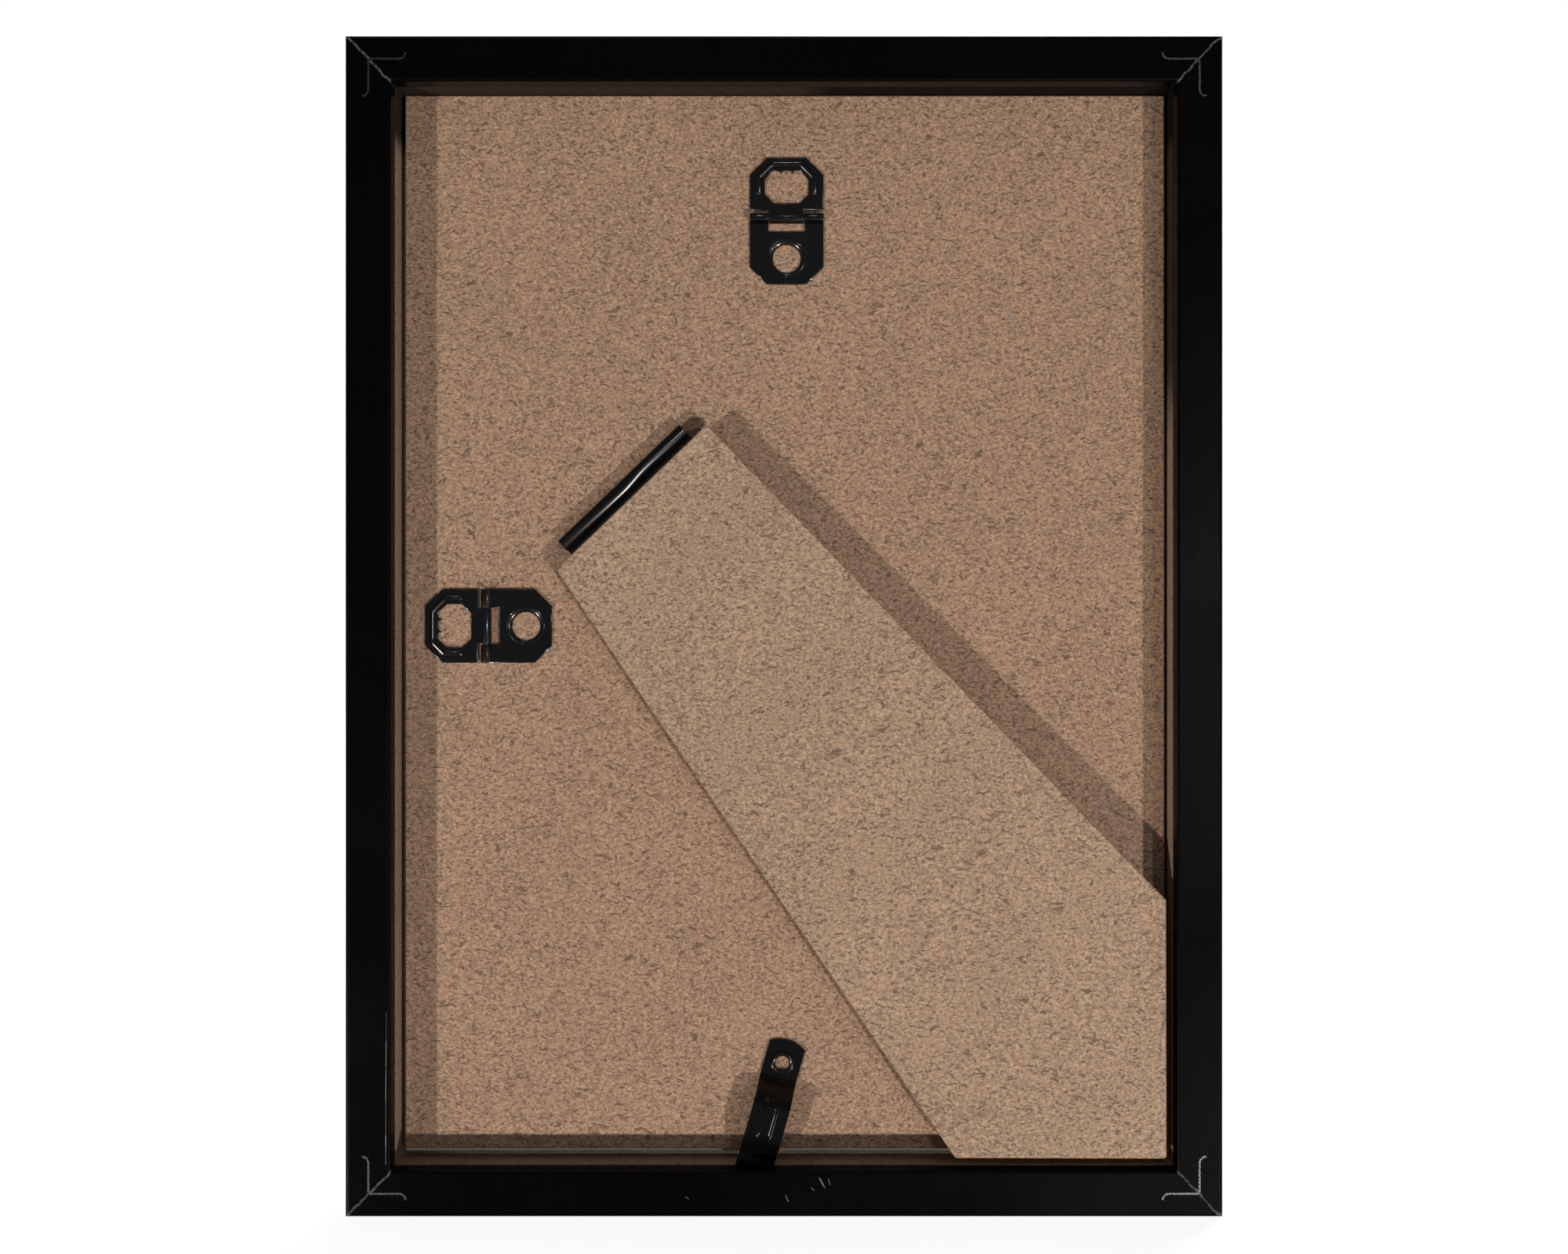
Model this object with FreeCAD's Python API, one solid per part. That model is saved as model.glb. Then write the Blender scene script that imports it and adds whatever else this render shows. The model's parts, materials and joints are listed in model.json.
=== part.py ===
import FreeCAD, Part
import math
import os
from FreeCAD import Placement, Rotation, Vector

# Easel back photo frame, upright, with its picture towards +Y and its back towards -Y.
# Millimetres. The origin lies at the bottom of the frame, in the middle of its width and depth.

# Moulding of the rails
opening_width = 131.2
opening_height = 181.9
land_width = 7.6
lip_width = 5.5
moulding_depth = 16.0
lip_thickness = 3.5
front_fall = 1.2
front_flat = 6.0
front_crown = 8.0
front_round = 2.2
sight_round = 1.2
rear_round = 0.6
rim_round = 0.45

# Slot sawn into the rebate wall for the tongue of the turn clip
slot_from_back = 3.4
slot_width = 0.9
slot_cut = 2.6

# V-nails
nail_inset = 3.9
nail_arm = 5.1
nail_curl = 1.1
nail_bend = 0.5
nail_sheet = 0.4
nail_drive = 8.0

# Glass, picture and backing board
glass_play = 1.2
glass_thickness = 2.0
picture_thickness = 0.3
board_play_across = 1.4
board_play_upright = 1.9
board_thickness = 2.7
board_shift_right = 0.15
board_shift_up = 0.75
board_ease = 0.2

# Hinged hangers, the same for both
hanger_width = 12.6
hanger_chamfer = 2.9
plate_sheet = 0.5
plate_length = 11.1
loop_sheet = 0.4
loop_length = 10.5
loop_shoulder = 1.6
hanger_pin_radius = 0.45
hanger_running = 0.04
tongue_width = 6.0
tongue_side_gap = 0.12
slot_end = 2.15
roll_end_degrees = 200
loop_corner = 0.25
window_width = 7.4
window_low = 2.7
window_high = 8.4
window_chamfer_low = 1.6
window_chamfer_side = 1.6
window_crown = 4.6
tooth_pitch = 2.0
tooth_depth = 0.5
scallop_share = 0.8
bead_width = 9.5
bead_low = 4.4
bead_high = 9.4
bead_chamfer = 2.2
bead_corner = 0.9
bead_band = 1.0
bead_rise = 0.2
collar_centre = 6.65
collar_bore = 2.28
collar_wall = 0.42
collar_shoulder = 0.82
collar_drive = 1.4
top_hanger_from_edge = 21.3
top_hanger_right = 0.3
side_hanger_from_edge = 14.05
side_hanger_down = 0.7

# Turn clip and its eyelet
clip_tilt = 16.0
clip_pivot_up = 14.65
clip_pivot_left = 0.42
clip_width = 6.3
clip_sheet = 0.4
clip_lift = 0.05
clip_head = 4.05
clip_head_corner = 3.15
clip_flat = 2.9
clip_rise_end = 5.9
clip_rise_height = 4.7
clip_crest_end = 12.2
clip_crest_height = 4.9
clip_fall_end = 15.4
clip_bend = 1.6
clip_reach = 18.3
clip_tip_corner = 0.5
rib_width = 2.5
rib_rise = 0.35
rib_start_share = 0.66
rib_end_share = 0.93
eyelet_bore = 1.2
eyelet_tube = 1.5
eyelet_flange = 2.0
eyelet_running = 0.05
eyelet_drive = 2.0

# Easel hinge
hinge_left = 27.0
hinge_up = 23.2
hinge_degrees = 43.9
hinge_width = 28.5
hinge_sheet = 0.45
curl_radius = 1.65
curl_clearance = 0.05
curl_mouth_degrees = 67
leaf_length = 14.0
leaf_side_gap = 0.3
prong_width = 2.2
prong_drive = 1.7
prong_point = 0.7
prong_spread = 18.0
prong_near = 4.2
prong_far = 9.4

# Easel leg
leg_thickness = 3.0
leg_end_gap = 2.0
leg_end_width = 35.2
leg_tilt = 0.8
leg_foot_gap_right = 1.6
leg_foot_gap_bottom = 1.9
leg_upright_foot = 35.3
leg_across_foot = 43.2
leg_corner = 0.6
leg_ease = 0.2

# Every cut runs this far past the face that it leaves
overrun = 1.0

outer_width = opening_width + 2 * land_width
outer_height = opening_height + 2 * land_width
rail_width = land_width + lip_width
back_face = -moulding_depth / 2
lip_seat = moulding_depth / 2 - lip_thickness
board_front = lip_seat - glass_thickness - picture_thickness
board_back = board_front - board_thickness
frame_centre = outer_height / 2
board_width = opening_width - board_play_across
board_height = opening_height - board_play_upright
board_middle = Vector(board_shift_right, 0, frame_centre + board_shift_up)
slot_height = board_back - back_face - slot_from_back - slot_width / 2


# Outlines

def turned_corner(before, corner, after, radius):
    """Start, middle and end of the arc that turns a corner."""
    back = (before - corner).normalize()
    ahead = (after - corner).normalize()
    half = back.getAngle(ahead) / 2
    inward = (back + ahead).normalize()
    reach = radius / math.tan(half)
    centre = corner + inward * (radius / math.sin(half))
    return corner + back * reach, centre - inward * radius, corner + ahead * reach


def path(corners, closed=False):
    """Lines through corners (x, y, radius), each corner turned by a tangent arc."""
    points = [Vector(x, y, 0) for x, y, radius in corners]
    turns = []
    for index, (x, y, radius) in enumerate(corners):
        inner = closed or 0 < index < len(corners) - 1
        if radius and inner:
            after = points[(index + 1) % len(points)]
            turns.append(turned_corner(points[index - 1], points[index], after, radius))
        else:
            turns.append((points[index], None, points[index]))
    edges = []
    for index, (start, middle, end) in enumerate(turns):
        if middle:
            edges.append(Part.Arc(start, middle, end).toShape())
        following = turns[(index + 1) % len(turns)][0]
        last = index == len(turns) - 1
        if not (last and not closed) and not end.isEqual(following, overrun / 10 ** 6):
            edges.append(Part.LineSegment(end, following).toShape())
    return Part.Wire(edges)


def plate(corners, thickness):
    """A flat plate with the outline of the corners, from z = 0 up."""
    return Part.Face(path(corners, closed=True)).extrude(Vector(0, 0, thickness))


def sheet_strip(line, sheet, width):
    """Sheet metal bent along a line in the XY plane, as wide as width, centred on z = 0."""
    band = line.makeOffset2D(sheet / 2, 0, True, False, False)
    band.translate(Vector(0, 0, -width / 2))
    return band.extrude(Vector(0, 0, width))


def side_on(shape):
    """Turns a strip drawn as length and height so that its width lies along x."""
    turned = shape.copy()
    turned.Placement = Placement(Vector(0, 0, 0), Rotation(Vector(1, 1, 1), 120)).multiply(shape.Placement)
    return turned


def eased(shape, size, level):
    """The shape with its edges at a level of z chamfered by size."""
    near = size / 100
    edges = [
        edge for edge in shape.Edges
        if abs(edge.BoundBox.ZMin - level) < near and abs(edge.BoundBox.ZMax - level) < near
    ]
    return shape.makeChamfer(size, edges)


def polar(centre, radius, degrees):
    """A point on a circle in the XY plane."""
    angle = math.radians(degrees)
    return centre + Vector(radius * math.cos(angle), radius * math.sin(angle), 0)


def block(x0, x1, y0, y1, z0, z1):
    """A box between two corners."""
    return Part.makeBox(x1 - x0, y1 - y0, z1 - z0, Vector(x0, y0, z0))


def turned_ring(corners):
    """A solid of revolution about z from an outline of (radius, height) corners."""
    points = [Vector(radius, 0, height) for radius, height in corners]
    outline = Part.makePolygon(points + points[:1])
    return Part.Face(outline).revolve(Vector(0, 0, 0), Vector(0, 0, 1), 360)


def on_board(shape, place, heading):
    """Seats a shape drawn flat on the back of the board, its y along heading and its z outwards."""
    outwards = Vector(0, -1, 0)
    seated = shape.copy()
    turn = Placement(place, Rotation(heading.cross(outwards), heading, outwards))
    seated.Placement = turn.multiply(shape.Placement)
    return seated


# Rails and their V-nails

def rail_profile():
    """Section of the moulding: x from the outer side inwards, y from the back to the front."""
    wall = land_width
    seat = moulding_depth - lip_thickness
    slot_near = slot_from_back
    slot_far = slot_from_back + slot_width
    corners = [
        (0, 0, rear_round),
        (wall, 0, rim_round),
        (wall, slot_near, 0),
        (wall - slot_cut, slot_near, 0),
        (wall - slot_cut, slot_far, 0),
        (wall, slot_far, 0),
        (wall, seat, 0),
        (rail_width, seat, 0),
        (rail_width, moulding_depth - front_fall, sight_round),
        (front_flat, moulding_depth, front_crown),
        (0, moulding_depth, front_round),
    ]
    return Part.Face(path(corners, closed=True))


def rail(length, from_centre, turn):
    """One mitred rail, drawn at the bottom of the frame and turned about its centre."""
    section = rail_profile()
    end_on = Rotation(Vector(0, 0, 1), Vector(0, 1, 0), Vector(-1, 0, 0))
    section.Placement = Placement(Vector(-length / 2, back_face, -from_centre), end_on)
    bar = section.extrude(Vector(length, 0, 0))
    mitre = [
        Vector(-length / 2, back_face, -from_centre),
        Vector(length / 2, back_face, -from_centre),
        Vector(length / 2 - rail_width, back_face, rail_width - from_centre),
        Vector(rail_width - length / 2, back_face, rail_width - from_centre),
    ]
    trapezium = Part.Face(Part.makePolygon(mitre + mitre[:1]))
    bar = bar.common(trapezium.extrude(Vector(0, moulding_depth, 0)))
    bar.Placement = Placement(Vector(0, 0, frame_centre), Rotation(Vector(0, 1, 0), turn))
    return bar


def v_nail(side, rise):
    """The nail of one corner, with side and rise of +1 or -1 towards that corner."""
    end = nail_arm + nail_curl
    line = path([
        (end, -nail_curl, 0),
        (end, 0, nail_curl),
        (0, 0, nail_bend),
        (0, end, nail_curl),
        (-nail_curl, end, 0),
    ])
    nail = line.makeOffset2D(nail_sheet / 2, 0, True, False, False).extrude(Vector(0, 0, nail_drive))
    quarter = {(-1, -1): 0, (1, -1): 90, (1, 1): 180, (-1, 1): 270}[(side, rise)]
    nail.Placement = Placement(Vector(0, 0, -nail_drive), Rotation(Vector(0, 0, 1), quarter))
    place = Vector(
        side * (outer_width / 2 - nail_inset),
        back_face,
        frame_centre + rise * (outer_height / 2 - nail_inset),
    )
    upright = Placement(place, Rotation(Vector(1, 0, 0), 90))
    nail.Placement = upright.multiply(nail.Placement)
    return nail


# Hinged hanger, drawn flat: y towards the end of the loop, z out of the board

pin_height = hanger_pin_radius + plate_sheet


def hanger_collar():
    """The drawn collar that goes down into the board from the plate, about z."""
    outer = collar_bore + collar_shoulder
    side = collar_bore + collar_wall
    return turned_ring([
        (outer, 0),
        (side, 0),
        (side, -collar_drive),
        (collar_bore, -collar_drive),
        (collar_bore, plate_sheet - collar_shoulder),
        (outer, plate_sheet),
    ])


def hanger_leaf(length, sheet, bore_radius, width):
    """A flat leaf along +y whose end is rolled about the pin."""
    roll = bore_radius + sheet / 2
    low = pin_height - roll
    centre = Vector(0, pin_height, 0)
    middle = (roll_end_degrees - 90) / 2
    flat = Part.LineSegment(Vector(length + overrun, low, 0), Vector(0, low, 0)).toShape()
    roll_end = polar(centre, roll, 180 - roll_end_degrees)
    bend = Part.Arc(Vector(0, low, 0), polar(centre, roll, 180 - middle), roll_end).toShape()
    return side_on(sheet_strip(Part.Wire([flat, bend]), sheet, width))


def octagon_end(length, start, width, chamfer, corner):
    """The outline of a leaf from start to its chamfered end at length."""
    half = width / 2
    return [
        (-half, start, 0),
        (half, start, 0),
        (half, length - chamfer, corner),
        (half - chamfer, length, corner),
        (chamfer - half, length, corner),
        (-half, length - chamfer, corner),
    ]


def hanger_plate():
    """Base plate with two side knuckles, a slot behind the middle knuckle and a drawn collar."""
    leaf = hanger_leaf(plate_length, plate_sheet, hanger_pin_radius, hanger_width)
    outline = octagon_end(plate_length, -pin_height - overrun, hanger_width, hanger_chamfer, loop_corner)
    leaf = leaf.common(plate(outline, pin_height * 2 + overrun))
    half_notch = tongue_width / 2 + tongue_side_gap
    leaf = leaf.cut(block(-half_notch, half_notch, -pin_height - overrun, slot_end, -overrun, pin_height * 3))
    bore = Part.makeCylinder(
        collar_bore + collar_shoulder, plate_sheet + 2 * overrun, Vector(0, collar_centre, -overrun)
    )
    ring = hanger_collar()
    ring.translate(Vector(0, collar_centre, 0))
    return leaf.cut(bore).fuse(ring)


def hanger_window():
    """The nail window of the loop, with two teeth hanging from its top edge."""
    half = window_width / 2
    crown = window_crown / 2
    tooth = window_high - tooth_depth
    lobe = tooth_pitch / 2
    shoulder = lobe + (crown - lobe) * scallop_share / 2
    lobe_top = window_high - tooth_depth * (1 - scallop_share)
    lines = [
        (crown, window_high, half, window_high - window_chamfer_side),
        (half, window_high - window_chamfer_side, half, window_low + window_chamfer_low),
        (half, window_low + window_chamfer_low, half - window_chamfer_low, window_low),
        (half - window_chamfer_low, window_low, window_chamfer_low - half, window_low),
        (window_chamfer_low - half, window_low, -half, window_low + window_chamfer_low),
        (-half, window_low + window_chamfer_low, -half, window_high - window_chamfer_side),
        (-half, window_high - window_chamfer_side, -crown, window_high),
    ]
    edges = [Part.LineSegment(Vector(a, b, 0), Vector(c, d, 0)).toShape() for a, b, c, d in lines]
    scallops = [
        (-crown, window_high, -shoulder, lobe_top, -lobe, tooth),
        (-lobe, tooth, 0, window_high, lobe, tooth),
        (lobe, tooth, shoulder, lobe_top, crown, window_high),
    ]
    for x0, y0, x1, y1, x2, y2 in scallops:
        edges.append(Part.Arc(Vector(x0, y0, 0), Vector(x1, y1, 0), Vector(x2, y2, 0)).toShape())
    window = Part.Face(Part.Wire(Part.__sortEdges__(edges)))
    window.translate(Vector(0, 0, -overrun))
    return window.extrude(Vector(0, 0, pin_height + 2 * overrun))


def hanger_bead(top):
    """The pressed bead that arches round the window, standing out of the loop's face."""
    half = bead_width / 2
    line = path([
        (-half, bead_low, 0),
        (-half, bead_high - bead_chamfer, bead_corner),
        (bead_chamfer - half, bead_high, bead_corner),
        (half - bead_chamfer, bead_high, bead_corner),
        (half, bead_high - bead_chamfer, bead_corner),
        (half, bead_low, 0),
    ])
    band = line.makeOffset2D(bead_band / 2, 0, True, False, False)
    band.translate(Vector(0, 0, top - loop_sheet / 2))
    return band.extrude(Vector(0, 0, loop_sheet / 2 + bead_rise))


def hanger_loop():
    """Loop with a rolled middle knuckle, a toothed window and a bead round it."""
    leaf = hanger_leaf(loop_length, loop_sheet, hanger_pin_radius + hanger_running, hanger_width)
    half = tongue_width / 2
    outline = octagon_end(loop_length, loop_shoulder, hanger_width, hanger_chamfer, loop_corner)
    tongue = block(-half, half, -pin_height * 2, loop_shoulder + overrun, 0, pin_height * 3)
    leaf = leaf.common(plate(outline, pin_height * 3).fuse(tongue))
    top = pin_height - hanger_pin_radius - hanger_running
    return leaf.fuse(hanger_bead(top)).cut(hanger_window())


def hanger_pin():
    """The pin through the three knuckles."""
    return Part.makeCylinder(
        hanger_pin_radius, hanger_width, Vector(-hanger_width / 2, 0, pin_height), Vector(1, 0, 0)
    )


# Turn clip, drawn flat: y towards its free end, z out of the board, about its pivot

def clip_line():
    """Corners of the strip's centre line, as length, height and bend radius."""
    low = clip_lift + clip_sheet / 2
    return [
        (-clip_head - overrun, low, 0),
        (clip_flat, low, clip_bend),
        (clip_rise_end, clip_rise_height, clip_bend * 2),
        (clip_crest_end, clip_crest_height, clip_bend),
        (clip_fall_end, slot_height, clip_bend),
        (clip_reach + overrun, slot_height, 0),
    ]


def between(start, end, share):
    """A corner between two others, at a share of the way."""
    return start[0] + (end[0] - start[0]) * share, start[1] + (end[1] - start[1]) * share, 0


def clip_rib():
    """Flat-topped rib pressed up along the crest, with sloping shoulders."""
    corners = clip_line()
    line = path([
        between(corners[1], corners[2], rib_start_share),
        corners[2],
        between(corners[2], corners[3], rib_end_share),
    ])
    line.Placement = Placement(Vector(0, 0, 0), Rotation(Vector(1, 1, 1), 120))
    half = rib_width / 2
    height = clip_sheet / 2 + rib_rise
    shoulder = half - rib_rise
    section = path([(half, 0, 0), (shoulder, height, 0), (-shoulder, height, 0), (-half, 0, 0)], closed=True)
    start, following = line.OrderedVertexes[0].Point, line.OrderedEdges[0].tangentAt(0)
    across = Vector(1, 0, 0)
    section.Placement = Placement(start, Rotation(across, across.cross(following) * -1, following))
    rib = line.makePipeShell([section], True, False)
    if rib.Volume < 0:
        rib.reverse()
    return rib


def turn_clip():
    """Arched spring strip with a cropped head, a pressed rib and a flat tongue."""
    strip = side_on(sheet_strip(path(clip_line()), clip_sheet, clip_width))
    half = clip_width / 2
    height = clip_crest_height + rib_rise + overrun
    left = Vector(-half, -clip_head_corner, 0)
    right = Vector(half, -clip_head_corner, 0)
    head = Part.Wire([
        Part.Arc(left, Vector(0, -clip_head, 0), right).toShape(),
        Part.LineSegment(right, Vector(half, clip_flat, 0)).toShape(),
        Part.LineSegment(Vector(half, clip_flat, 0), Vector(-half, clip_flat, 0)).toShape(),
        Part.LineSegment(Vector(-half, clip_flat, 0), left).toShape(),
    ])
    tail = plate([
        (-half, 0, 0),
        (half, 0, 0),
        (half, clip_reach, clip_tip_corner),
        (-half, clip_reach, clip_tip_corner),
    ], height)
    outline = Part.Face(head).extrude(Vector(0, 0, height)).fuse(tail)
    hole = Part.makeCylinder(eyelet_tube + eyelet_running, height)
    return strip.common(outline).cut(hole).fuse(clip_rib())


def turn_clip_eyelet():
    """Tubular eyelet with a rolled flange, pressed into the board."""
    seat = clip_lift + clip_sheet + eyelet_running
    roll = (eyelet_flange - eyelet_bore) / 2
    return turned_ring([
        (eyelet_bore, -eyelet_drive),
        (eyelet_tube, -eyelet_drive),
        (eyelet_tube, seat),
        (eyelet_flange, seat),
        (eyelet_flange - roll / 2, seat + roll),
        (eyelet_bore + roll / 2, seat + roll),
        (eyelet_bore, seat),
    ])


# Easel hinge and leg, drawn with x along the hinge axis, y from it towards the foot, z out of the board

leg_under = curl_radius + hinge_sheet / 2
hinge_turn = math.radians(hinge_degrees)
hinge_along = Vector(math.cos(hinge_turn), 0, math.sin(hinge_turn))
hinge_to_foot = Vector(math.sin(hinge_turn), 0, -math.cos(hinge_turn))
hinge_place = Vector(-hinge_left, board_back, frame_centre + hinge_up)


def swung(shape):
    """Lifts a piece of the leg about the hinge axis to where the leg lies when shut."""
    lifted = shape.copy()
    lifted.rotate(Vector(0, 0, curl_radius), Vector(1, 0, 0), leg_tilt)
    return lifted


def with_prongs(leaf):
    """A leaf on z = 0 with four pointed prongs, bent down into the hardboard out of windows."""
    half = prong_width / 2
    tip = [
        (-half, hinge_sheet, 0),
        (-half, prong_point - prong_drive, 0),
        (0, -prong_drive, 0),
        (half, prong_point - prong_drive, 0),
        (half, hinge_sheet, 0),
    ]
    for x in (-prong_spread / 2, prong_spread / 2):
        for y in (prong_near, prong_far):
            prong = plate(tip, hinge_sheet)
            prong.rotate(Vector(0, 0, 0), Vector(1, 0, 0), 90)
            prong.translate(Vector(x, y, 0))
            window = block(x - half, x + half, y, y + prong_drive, -overrun, hinge_sheet + overrun)
            leaf = leaf.cut(window).fuse(prong)
    return leaf


def hinge_board_leaf():
    """Leaf flat on the board whose end curls over the bead of the leg's leaf."""
    roll = curl_radius - hinge_sheet / 2
    centre = Vector(0, curl_radius, 0)
    low = Vector(0, hinge_sheet / 2, 0)
    flat = Part.LineSegment(Vector(leaf_length, hinge_sheet / 2, 0), low).toShape()
    middle = polar(centre, roll, (270 + curl_mouth_degrees) / 2)
    curl = Part.Arc(low, middle, polar(centre, roll, curl_mouth_degrees)).toShape()
    leaf = side_on(sheet_strip(Part.Wire([flat, curl]), hinge_sheet, hinge_width))
    return with_prongs(leaf)


def hinge_leg_leaf():
    """Leaf under the leg whose end is rolled into a bead that turns inside the curl."""
    outer = curl_radius - hinge_sheet - curl_clearance
    width = hinge_width - 2 * leaf_side_gap
    start = Vector(-width / 2, 0, curl_radius)
    along = Vector(1, 0, 0)
    bead = Part.makeCylinder(outer, width, start, along)
    bore = Part.makeCylinder(outer - hinge_sheet, width, start, along)
    flat = with_prongs(block(-width / 2, width / 2, outer - hinge_sheet / 2, leaf_length, 0, hinge_sheet))
    flat = flat.mirror(Vector(0, 0, 0), Vector(0, 0, 1))
    flat.translate(Vector(0, 0, leg_under))
    return swung(bead.cut(bore).fuse(flat))


def easel_leg():
    """Hardboard leg with one foot for the frame upright and one for the frame across."""
    corner = Vector(
        opening_width / 2 - leg_foot_gap_right, board_back,
        frame_centre - opening_height / 2 + leg_foot_gap_bottom,
    )
    feet = [corner + Vector(0, 0, leg_across_foot), corner, corner - Vector(leg_upright_foot, 0, 0)]
    outline = [(-leg_end_width / 2, leg_end_gap, leg_corner)]
    for foot in feet:
        reach = foot - hinge_place
        outline.append((-reach.dot(hinge_along), reach.dot(hinge_to_foot), leg_corner))
    outline.append((leg_end_width / 2, leg_end_gap, leg_corner))
    panel = plate(outline, leg_thickness)
    panel = eased(panel, leg_ease, leg_thickness)
    panel.translate(Vector(0, 0, leg_under))
    return swung(panel)


# Glass, picture and board

def filling(width, height, thickness, front):
    """A flat sheet in the rebate, from its front face backwards."""
    return Part.makeBox(
        width, thickness, height, Vector(-width / 2, front - thickness, frame_centre - height / 2)
    )


def backing_board():
    """Hardboard backing with its rear edges eased, drawn flat with its rear face at z = 0."""
    half_width = board_width / 2
    half_height = board_height / 2
    panel = block(-half_width, half_width, -half_height, half_height, -board_thickness, 0)
    return eased(panel, board_ease, 0)


def on_back(x, z):
    """A point on the rear face of the board, from the middle of the board."""
    return Vector(board_middle.x + x, board_back, board_middle.z + z)


up = Vector(0, 0, 1)
left = Vector(-1, 0, 0)
glass_width = opening_width - glass_play
glass_height = opening_height - glass_play
top_hanger = on_back(top_hanger_right, board_height / 2 - top_hanger_from_edge)
side_hanger = on_back(side_hanger_from_edge - board_width / 2, -side_hanger_down)
clip_pivot = on_back(-clip_pivot_left, clip_pivot_up - board_height / 2)
clip_turn = math.radians(clip_tilt)
clip_heading = Vector(-math.sin(clip_turn), 0, -math.cos(clip_turn))

nails = {
    "v_nail_top_left": v_nail(-1, 1),
    "v_nail_top_right": v_nail(1, 1),
    "v_nail_bottom_left": v_nail(-1, -1),
    "v_nail_bottom_right": v_nail(1, -1),
}
rails = {
    "bottom_rail": rail(outer_width, outer_height / 2, 0),
    "left_rail": rail(outer_height, outer_width / 2, 90),
    "top_rail": rail(outer_width, outer_height / 2, 180),
    "right_rail": rail(outer_height, outer_width / 2, 270),
}
fittings = {
    "top_hanger_plate": on_board(hanger_plate(), top_hanger, up * -1),
    "top_hanger_pin": on_board(hanger_pin(), top_hanger, up),
    "side_hanger_plate": on_board(hanger_plate(), side_hanger, left * -1),
    "side_hanger_pin": on_board(hanger_pin(), side_hanger, left),
    "turn_clip_eyelet": on_board(turn_clip_eyelet(), clip_pivot, clip_heading),
    "easel_hinge_board_leaf": on_board(hinge_board_leaf(), hinge_place, hinge_to_foot),
}
movers = {
    "top_hanger_loop": on_board(hanger_loop(), top_hanger, up),
    "side_hanger_loop": on_board(hanger_loop(), side_hanger, left),
    "turn_clip": on_board(turn_clip(), clip_pivot, clip_heading),
    "easel_hinge_leg_leaf": on_board(hinge_leg_leaf(), hinge_place, hinge_to_foot),
    "easel_leg": on_board(easel_leg().cut(hinge_leg_leaf()), hinge_place, hinge_to_foot),
}
filled = {
    "glass_pane": filling(glass_width, glass_height, glass_thickness, lip_seat),
    "picture_insert": filling(glass_width, glass_height, picture_thickness, lip_seat - glass_thickness),
    "backing_board": on_board(backing_board(), on_back(0, 0), up).cut(list(fittings.values())),
}
for name in rails:
    rails[name] = rails[name].cut(list(nails.values()))

os.makedirs("parts", exist_ok=True)
for group in (rails, nails, filled, fittings, movers):
    for name, shape in group.items():
        shape.exportStep("parts/" + name + ".step")
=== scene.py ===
import json
import math
from types import SimpleNamespace

import bmesh
import bpy
from mathutils import Matrix, Vector


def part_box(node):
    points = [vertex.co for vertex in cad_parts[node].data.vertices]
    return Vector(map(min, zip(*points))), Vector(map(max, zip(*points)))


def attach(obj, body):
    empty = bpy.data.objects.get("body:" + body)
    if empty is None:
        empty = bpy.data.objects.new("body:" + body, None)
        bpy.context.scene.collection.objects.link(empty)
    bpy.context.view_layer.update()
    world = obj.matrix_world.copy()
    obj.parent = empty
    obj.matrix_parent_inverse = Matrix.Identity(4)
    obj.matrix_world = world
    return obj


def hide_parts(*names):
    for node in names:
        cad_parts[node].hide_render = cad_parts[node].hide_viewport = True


bl_info = {
    "name": "Easel Back Photo Frame",
    "version": (1, 0, 0),
    "blender": (4, 5, 0),
    "location": "3D View > Sidebar > Photo Frame",
    "description": "Finishes a mitred photo frame and the fittings on its easel back",
    "category": "Add Mesh",
}

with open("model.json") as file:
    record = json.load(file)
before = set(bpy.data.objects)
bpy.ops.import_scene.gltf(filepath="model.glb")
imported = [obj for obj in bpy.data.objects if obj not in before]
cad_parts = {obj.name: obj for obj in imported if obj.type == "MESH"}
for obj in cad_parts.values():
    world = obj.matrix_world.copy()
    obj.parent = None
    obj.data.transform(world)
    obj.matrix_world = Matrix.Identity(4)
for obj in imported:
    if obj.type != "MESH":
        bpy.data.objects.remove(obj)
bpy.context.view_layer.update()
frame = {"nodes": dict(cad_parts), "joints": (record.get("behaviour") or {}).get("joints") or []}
frame_low, frame_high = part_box("left_rail")
middle_height = (frame_low.z + frame_high.z) / 2
half_width = -frame_low.x
half_height = (frame_high.z - frame_low.z) / 2
board_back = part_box("backing_board")[0].y
joint_places = {joint["name"]: Vector(joint["pos_m"]) for joint in frame["joints"]}
MM = 0.001
OUTWARDS = Vector((0, -1, 0))
SIDE_ON = Matrix(((0, 0, 1, 0), (1, 0, 0, 0), (0, 1, 0, 0), (0, 0, 0, 1)))
SMOOTH = math.radians(40)
WELD = 0.0005
FLAT_BORDER = 0.03
RING_STEPS = 72


# Outlines and meshes, in millimetres until they are seated

def arc(across, along, radius, start, end, steps):
    """Points of an arc between two angles in degrees."""
    turns = [math.radians(start + (end - start) * step / steps) for step in range(steps + 1)]
    return [(across + radius * math.cos(turn), along + radius * math.sin(turn)) for turn in turns]


def boxed(left, right, low, high):
    """Outline of a rectangle."""
    return [(left, low), (right, low), (right, high), (left, high)]


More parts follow.
